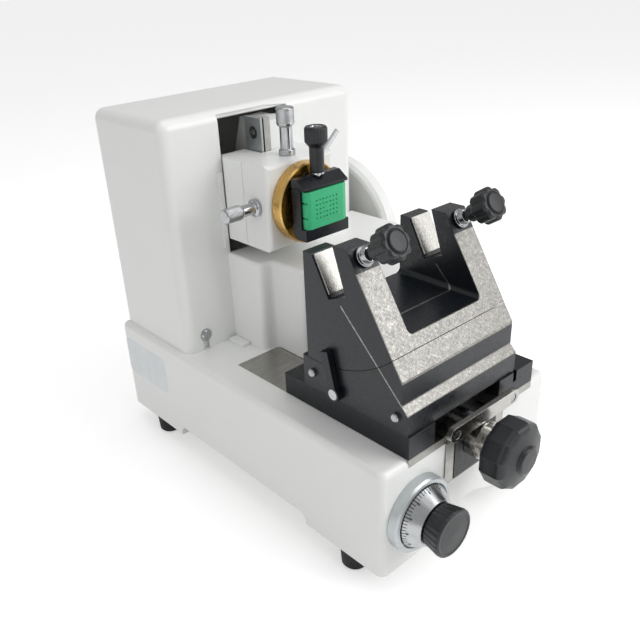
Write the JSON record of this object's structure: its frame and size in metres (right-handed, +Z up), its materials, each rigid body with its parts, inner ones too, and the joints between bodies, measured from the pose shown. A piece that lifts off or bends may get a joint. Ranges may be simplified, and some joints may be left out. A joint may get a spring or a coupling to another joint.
{
  "type": "rotary microtome",
  "caption": "Hand-driven rotary microtome with cassette clamp on an orientable head, tilting knife holder, thickness dial and side handwheel.",
  "frame": {"origin": "on the bench, under the middle of the overall width and depth", "axes": "+X to the handwheel side, +Y from the operator's knobs to the tower, +Z up"},
  "size_m": [0.278, 0.383, 0.299],
  "materials": {
    "enamel": "satin",
    "sheet_steel": "satin",
    "ground_steel": "ground",
    "polished_steel": "polished",
    "chrome_plate": "polished",
    "brass": "turned",
    "black_anodised": "matt anodised",
    "black_plastic": "moulded",
    "grey_plastic": "moulded",
    "rubber": "moulded",
    "cast_iron": "machined",
    "cassette_plastic": "moulded"
  },
  "bodies": {
    "base": {"base_casting": "enamel", "bottom_plate": "sheet_steel", "rubber_feet": "rubber", "slide_bed": "ground_steel", "bed_rails": "polished_steel", "window_frame": "grey_plastic", "screw_block": "black_anodised", "dial_bezel": "grey_plastic", "tower_cover": "enamel", "head_guard": "enamel", "guide_column": "enamel", "guide_rail": "polished_steel", "gib_plate": "ground_steel", "frame_screws": "chrome_plate", "shaft_bracket": "cast_iron", "main_bearings": "ground_steel"},
    "drive": {"main_shaft": "ground_steel", "crank_disc": "cast_iron", "handwheel": "enamel", "wheel_fittings": "chrome_plate"},
    "grip": {"handle_grip": "black_plastic"},
    "dial": {"dial_drum": "chrome_plate", "dial_knob": "black_plastic", "dial_shaft": "ground_steel"},
    "coarse_feed": {"coarse_screw": "chrome_plate", "coarse_knob": "black_plastic"},
    "carriage": {"carriage": "enamel", "carriage_gib": "brass", "left_keeper": "ground_steel", "carriage_yoke": "ground_steel"},
    "fine_feed": {"feed_screw": "ground_steel", "ratchet_wheel": "ground_steel"},
    "pawl": {"feed_pawl": "ground_steel"},
    "head": {"head_block": "enamel", "feed_nut": "brass", "guide_rods": "polished_steel", "socket_cap": "brass", "cap_screws": "chrome_plate"},
    "head_lock": {"lock_ring": "polished_steel"},
    "swivel": {"swivel_ring": "ground_steel"},
    "clamp": {"tilt_ball": "ground_steel", "clamp_body": "black_anodised", "cassette": "cassette_plastic"},
    "jaw": {"clamp_jaw": "black_anodised"},
    "jaw_screw": {"clamp_knob": "black_plastic", "clamp_screw": "chrome_plate"},
    "tilt_adjuster": {"tilt_knob": "chrome_plate"},
    "swivel_adjuster": {"swivel_knob": "chrome_plate"},
    "knife_slide": {"knife_base": "black_anodised", "coarse_nut": "brass", "front_bracket": "ground_steel", "knife_screws": "chrome_plate", "stop_pin": "black_plastic", "tilt_seat": "black_anodised"},
    "tilt_clamp": {"tilt_clamp_shaft": "chrome_plate", "tilt_lever": "black_plastic"},
    "knife_holder": {"knife_cradle": "black_anodised", "knife_pads": "ground_steel"},
    "left_star": {"star_knob_left": "black_plastic"},
    "right_star": {"star_knob_right": "black_plastic"}
  },
  "joints": [
    {"name": "handwheel_turn", "type": "hinge", "parent": "base", "child": "drive", "pos_m": [0.081, 0.1165, 0.1516], "axis": [1, 0, 0], "continuous": true},
    {"name": "grip_spin", "type": "hinge", "parent": "drive", "child": "grip", "pos_m": [0.111, 0.17519, 0.13912], "axis": [1, 0, 0], "continuous": true},
    {"name": "dial_turn", "type": "hinge", "parent": "base", "child": "dial", "pos_m": [-0.106, -0.158, 0.059], "axis": [0, 1, 0], "range_deg": [0, 330]},
    {"name": "carriage_lift", "type": "slide", "parent": "base", "child": "carriage", "axis": [0, 0, 1], "range_m": [-0.008, 0.028]},
    {"name": "head_advance", "type": "slide", "parent": "carriage", "child": "head", "axis": [0, -1, 0], "range_m": [0, 0.015]},
    {"name": "feed_screw_turn", "type": "hinge", "parent": "carriage", "child": "fine_feed", "pos_m": [-0.073, 0.094, 0.208], "axis": [0, 1, 0], "range_deg": [-5, 2705]},
    {"name": "pawl_rock", "type": "hinge", "parent": "carriage", "child": "pawl", "pos_m": [-0.055, 0.104, 0.232], "axis": [0, 1, 0], "range_deg": [0, 12]},
    {"name": "lock_ring_turn", "type": "hinge", "parent": "head", "child": "head_lock", "pos_m": [-0.047, 0.0205, 0.23], "axis": [0, 1, 0], "range_deg": [-15, 15]},
    {"name": "head_swivel", "type": "hinge", "parent": "head", "child": "swivel", "pos_m": [-0.047, 0.039, 0.23], "axis": [0, 0, 1], "range_deg": [-4, 4]},
    {"name": "head_tilt", "type": "hinge", "parent": "swivel", "child": "clamp", "pos_m": [-0.047, 0.039, 0.23], "axis": [1, 0, 0], "range_deg": [-4, 4]},
    {"name": "jaw_lift", "type": "slide", "parent": "clamp", "child": "jaw", "axis": [0, 0, 1], "range_m": [0, 0.008]},
    {"name": "jaw_screw_turn", "type": "hinge", "parent": "jaw", "child": "jaw_screw", "pos_m": [-0.0475, 0.0044, 0.258], "axis": [0, 0, 1], "range_deg": [-5, 1445]},
    {"name": "tilt_knob_turn", "type": "hinge", "parent": "head", "child": "tilt_adjuster", "pos_m": [-0.0456, 0.0403, 0.268], "axis": [0, 0, 1], "range_deg": [-245, 245]},
    {"name": "swivel_knob_turn", "type": "hinge", "parent": "head", "child": "swivel_adjuster", "pos_m": [-0.089, 0.0371, 0.2301], "axis": [1, 0, 0], "range_deg": [-245, 245]},
    {"name": "knife_advance", "type": "slide", "parent": "base", "child": "knife_slide", "axis": [0, 1, 0], "range_m": [0, 0.02]},
    {"name": "coarse_knob_turn", "type": "hinge", "parent": "base", "child": "coarse_feed", "pos_m": [-0.043, -0.166, 0.09], "axis": [0, 1, 0], "range_deg": [-5, 3605]},
    {"name": "knife_tilt", "type": "hinge", "parent": "knife_slide", "child": "knife_holder", "pos_m": [-0.055, -0.06, 0.2535], "axis": [1, 0, 0], "range_deg": [-6, 6]},
    {"name": "tilt_lever_turn", "type": "hinge", "parent": "knife_slide", "child": "tilt_clamp", "pos_m": [-0.114, -0.0808, 0.1292], "axis": [1, 0, 0], "range_deg": [-30, 30]},
    {"name": "left_star_turn", "type": "hinge", "parent": "knife_holder", "child": "left_star", "pos_m": [-0.1035, -0.0975, 0.2307], "axis": [0, -0.8499, 0.527], "continuous": true},
    {"name": "right_star_turn", "type": "hinge", "parent": "knife_holder", "child": "right_star", "pos_m": [-0.007, -0.0975, 0.2307], "axis": [0, -0.8499, 0.527], "continuous": true}
  ],
  "couplings": [
    {"joint": "feed_screw_turn", "follows": "head_advance", "rad_per_m": 3141.6},
    {"joint": "jaw_screw_turn", "follows": "jaw_lift", "rad_per_m": 3141.6},
    {"joint": "coarse_knob_turn", "follows": "knife_advance", "rad_per_m": 3141.6},
    {"joint": "tilt_knob_turn", "follows": "head_tilt", "ratio": 60},
    {"joint": "swivel_knob_turn", "follows": "head_swivel", "ratio": 60}
  ]
}
